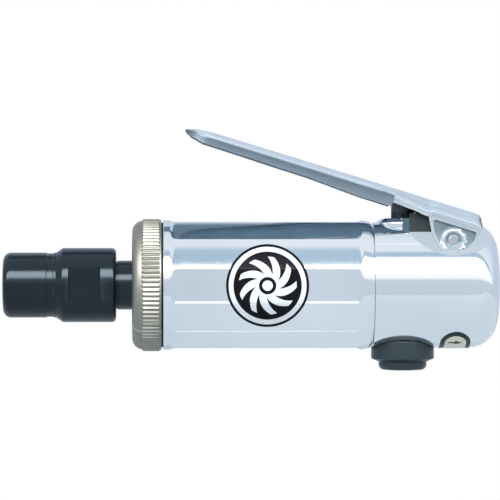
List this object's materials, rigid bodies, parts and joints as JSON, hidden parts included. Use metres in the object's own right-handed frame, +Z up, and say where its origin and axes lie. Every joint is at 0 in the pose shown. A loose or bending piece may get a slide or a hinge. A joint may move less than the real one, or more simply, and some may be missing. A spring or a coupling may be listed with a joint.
{
  "type": "air die grinder",
  "caption": "Straight air die grinder: collet and closing nut, vane motor in a flatted barrel, throttle lever with plunger valve, air regulator knob and rear inlet.",
  "frame": {"origin": "mouth of the collet bore, on the spindle axis", "axes": "+X along the spindle from the collet to the air inlet, +Z up to the throttle lever, +Y to the side"},
  "size_m": [0.145, 0.0388, 0.0712],
  "materials": {
    "polished_housing": "polished bright",
    "chromed_lever": "polished chrome",
    "blackened_steel": "black oxide, satin",
    "collet_steel": "hardened, ground",
    "nickel_knurl": "satin nickel, knurled",
    "ground_steel": "ground",
    "spring_steel": "drawn",
    "bearing_cage": "pressed",
    "valve_brass": "machined",
    "vane_composite": "laminated",
    "felt": "felt",
    "seal_rubber": "moulded",
    "black_plastic": "moulded",
    "badge_print": "printed foil",
    "label_print": "printed foil"
  },
  "bodies": {
    "housing": {"housing": "polished_housing", "clamp_nut": "nickel_knurl", "dust_seal": "felt", "cylinder": "ground_steel", "cylinder_pin": "ground_steel", "front_end_plate": "ground_steel", "rear_end_plate": "ground_steel", "disc_spring": "spring_steel", "front_bearing_outer_race": "ground_steel", "rear_bearing_outer_race": "ground_steel", "valve_bushing": "valve_brass", "valve_seat": "valve_brass", "valve_spring": "spring_steel", "regulator_snap_ring": "spring_steel", "lever_pin": "ground_steel", "inlet_bushing": "ground_steel", "inlet_o_ring": "seal_rubber", "inlet_screen": "valve_brass", "exhaust_muffler": "felt", "badge": "badge_print", "regulator_label": "label_print"},
    "spindle": {"rotor": "ground_steel", "rotor_vane_1": "vane_composite", "rotor_vane_2": "vane_composite", "rotor_vane_3": "vane_composite", "rotor_vane_4": "vane_composite", "rotor_vane_5": "vane_composite", "rotor_snap_ring": "spring_steel", "collet_body": "blackened_steel", "front_bearing_inner_race": "ground_steel", "rear_bearing_inner_race": "ground_steel"},
    "front_cage": {"front_bearing_cage": "bearing_cage", "front_bearing_balls": "ground_steel"},
    "rear_cage": {"rear_bearing_cage": "bearing_cage", "rear_bearing_balls": "ground_steel"},
    "collet": {"collet": "collet_steel"},
    "collet_nut": {"collet_nut": "blackened_steel"},
    "lever": {"throttle_lever": "chromed_lever"},
    "valve": {"valve_plunger": "black_plastic", "plunger_o_ring": "seal_rubber", "throttle_valve": "valve_brass"},
    "regulator": {"regulator_drum": "valve_brass", "regulator_o_ring": "seal_rubber", "regulator_knob": "black_plastic", "knob_screw": "ground_steel"}
  },
  "joints": [
    {"name": "spindle_spin", "type": "hinge", "parent": "housing", "child": "spindle", "pos_m": [0.08, 0, 0], "axis": [1, 0, 0], "continuous": true},
    {"name": "front_cage_orbit", "type": "hinge", "parent": "housing", "child": "front_cage", "pos_m": [0.057, 0, 0], "axis": [1, 0, 0], "continuous": true},
    {"name": "rear_cage_orbit", "type": "hinge", "parent": "housing", "child": "rear_cage", "pos_m": [0.1015, 0, 0], "axis": [1, 0, 0], "continuous": true},
    {"name": "collet_slide", "type": "slide", "parent": "spindle", "child": "collet", "axis": [-1, 0, 0], "range_m": [0, 0.002]},
    {"name": "collet_nut_turn", "type": "hinge", "parent": "collet", "child": "collet_nut", "pos_m": [0.016, 0, 0], "axis": [-1, 0, 0], "range_deg": [0, 721]},
    {"name": "lever_press", "type": "hinge", "parent": "housing", "child": "lever", "pos_m": [0.13175, 0, 0.01314], "axis": [0, -1, 0], "range_deg": [0, 12], "stiffness_Nm_per_rad": 0.5, "springref_deg": -11.46},
    {"name": "valve_stroke", "type": "slide", "parent": "housing", "child": "valve", "axis": [0, 0, -1], "range_m": [0, 0.0034], "deforming": ["valve_spring"]},
    {"name": "regulator_turn", "type": "hinge", "parent": "housing", "child": "regulator", "pos_m": [0.1173, 0, -0.02], "axis": [0, 0, -1], "range_deg": [0, 180]}
  ],
  "couplings": [
    {"joint": "front_cage_orbit", "follows": "spindle_spin", "ratio": 0.36778},
    {"joint": "rear_cage_orbit", "follows": "spindle_spin", "ratio": 0.36111},
    {"joint": "collet_nut_turn", "follows": "collet_slide", "rad_per_m": 6283.2},
    {"joint": "valve_stroke", "follows": "lever_press", "m_per_rad": 0.015543}
  ]
}
